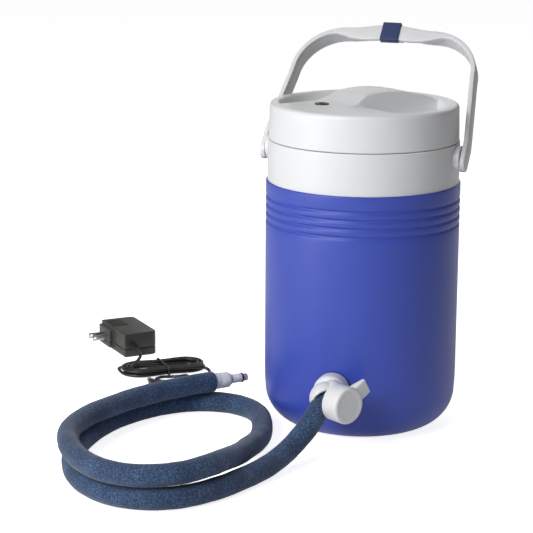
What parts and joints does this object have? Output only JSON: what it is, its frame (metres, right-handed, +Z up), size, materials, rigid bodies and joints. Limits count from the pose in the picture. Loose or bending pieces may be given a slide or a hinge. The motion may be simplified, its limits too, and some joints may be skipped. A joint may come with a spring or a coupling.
{
  "type": "hot and cold therapy machine",
  "caption": "Insulated jug with a pump in its lid, a swinging carry bail, a valve with an insulated hose and quick connector, and a power adapter with its lead tied in a hank.",
  "frame": {"origin": "centre of the jug's flat base", "axes": "+Z up, -Y out of the side that carries the valve, +X to the right of a viewer who faces the valve"},
  "size_m": [0.43, 0.5981, 0.4078],
  "materials": {
    "jug_blue": "satin",
    "foam": "matt",
    "liner_white": "satin",
    "moulded_white": "satin",
    "bail_white": "satin",
    "clip_navy": "satin",
    "seal_rubber": "matt",
    "screw_steel": "satin",
    "black_plastic": "satin",
    "wire_red": "satin",
    "board_green": "satin",
    "plate_metal": "satin",
    "crank_metal": "satin",
    "pump_grey": "satin",
    "silicone": "satin",
    "coil_brown": "satin",
    "hose_foam": "mottled matt",
    "tip_clear": "clear",
    "adapter_black": "satin",
    "cord_black": "satin",
    "tie_grey": "satin",
    "plug_metal": "bright"
  },
  "bodies": {
    "jug": {"outer_shell": "jug_blue", "foam_insulation": "foam", "inner_liner": "liner_white", "collar_ring": "moulded_white", "spigot_shank": "moulded_white", "spigot_washer": "seal_rubber", "spigot_nut": "liner_white", "valve_housing": "moulded_white", "insulated_hose": "hose_foam", "connector_barrel": "moulded_white", "connector_nipple": "moulded_white", "connector_seal": "seal_rubber", "connector_tip": "tip_clear", "adapter_cover": "adapter_black", "adapter_base": "adapter_black", "adapter_board": "board_green", "adapter_blades": "plug_metal", "adapter_relief": "cord_black", "adapter_lead": "cord_black", "adapter_hank": "cord_black", "hank_tie": "tie_grey", "adapter_tail": "cord_black", "barrel_plug": "cord_black", "plug_barrel": "plug_metal"},
    "bail": {"bail_handle": "bail_white", "handle_clip": "clip_navy"},
    "seal": {"lid_gasket": "seal_rubber"},
    "lid": {"lid_cover": "moulded_white", "lid_pan": "moulded_white", "lid_insulation": "foam", "lid_screws": "screw_steel", "power_jack": "black_plastic", "jack_nut": "screw_steel", "wiring": "wire_red", "control_board": "board_green", "board_parts": "black_plastic", "chassis_plate": "plate_metal", "pump_motor": "plate_metal", "pump_yoke": "pump_grey", "diaphragm": "seal_rubber", "pump_head": "black_plastic", "air_tube": "silicone", "vent_coil": "coil_brown"},
    "crank": {"pump_crank": "crank_metal"},
    "vent": {"vent_plunger": "crank_metal"},
    "valve": {"valve_handle": "moulded_white", "stem_seal": "seal_rubber"}
  },
  "joints": [
    {"name": "bail_pivot", "type": "hinge", "parent": "jug", "child": "bail", "pos_m": [0, 0, 0.284], "axis": [0.9397, -0.342, 0], "range_deg": [-84, 162]},
    {"name": "lid_lift", "type": "slide", "parent": "jug", "child": "seal", "axis": [0, 0, 1], "range_m": [0, 0.04]},
    {"name": "lid_turn", "type": "hinge", "parent": "seal", "child": "lid", "pos_m": [0, 0, 0.3], "axis": [0, 0, 1], "range_deg": [0, 30]},
    {"name": "pump_spin", "type": "hinge", "parent": "lid", "child": "crank", "pos_m": [0.00819, 0.02362, 0.3155], "axis": [0, 0, 1], "continuous": true},
    {"name": "vent_press", "type": "slide", "parent": "lid", "child": "vent", "axis": [0, 0, -1], "range_m": [0, 0.0015], "stiffness_N_per_m": 200},
    {"name": "valve_turn", "type": "hinge", "parent": "jug", "child": "valve", "pos_m": [-0.017, -0.154, 0.0597], "axis": [0.6428, -0.766, 0], "range_deg": [-90, 0]}
  ]
}
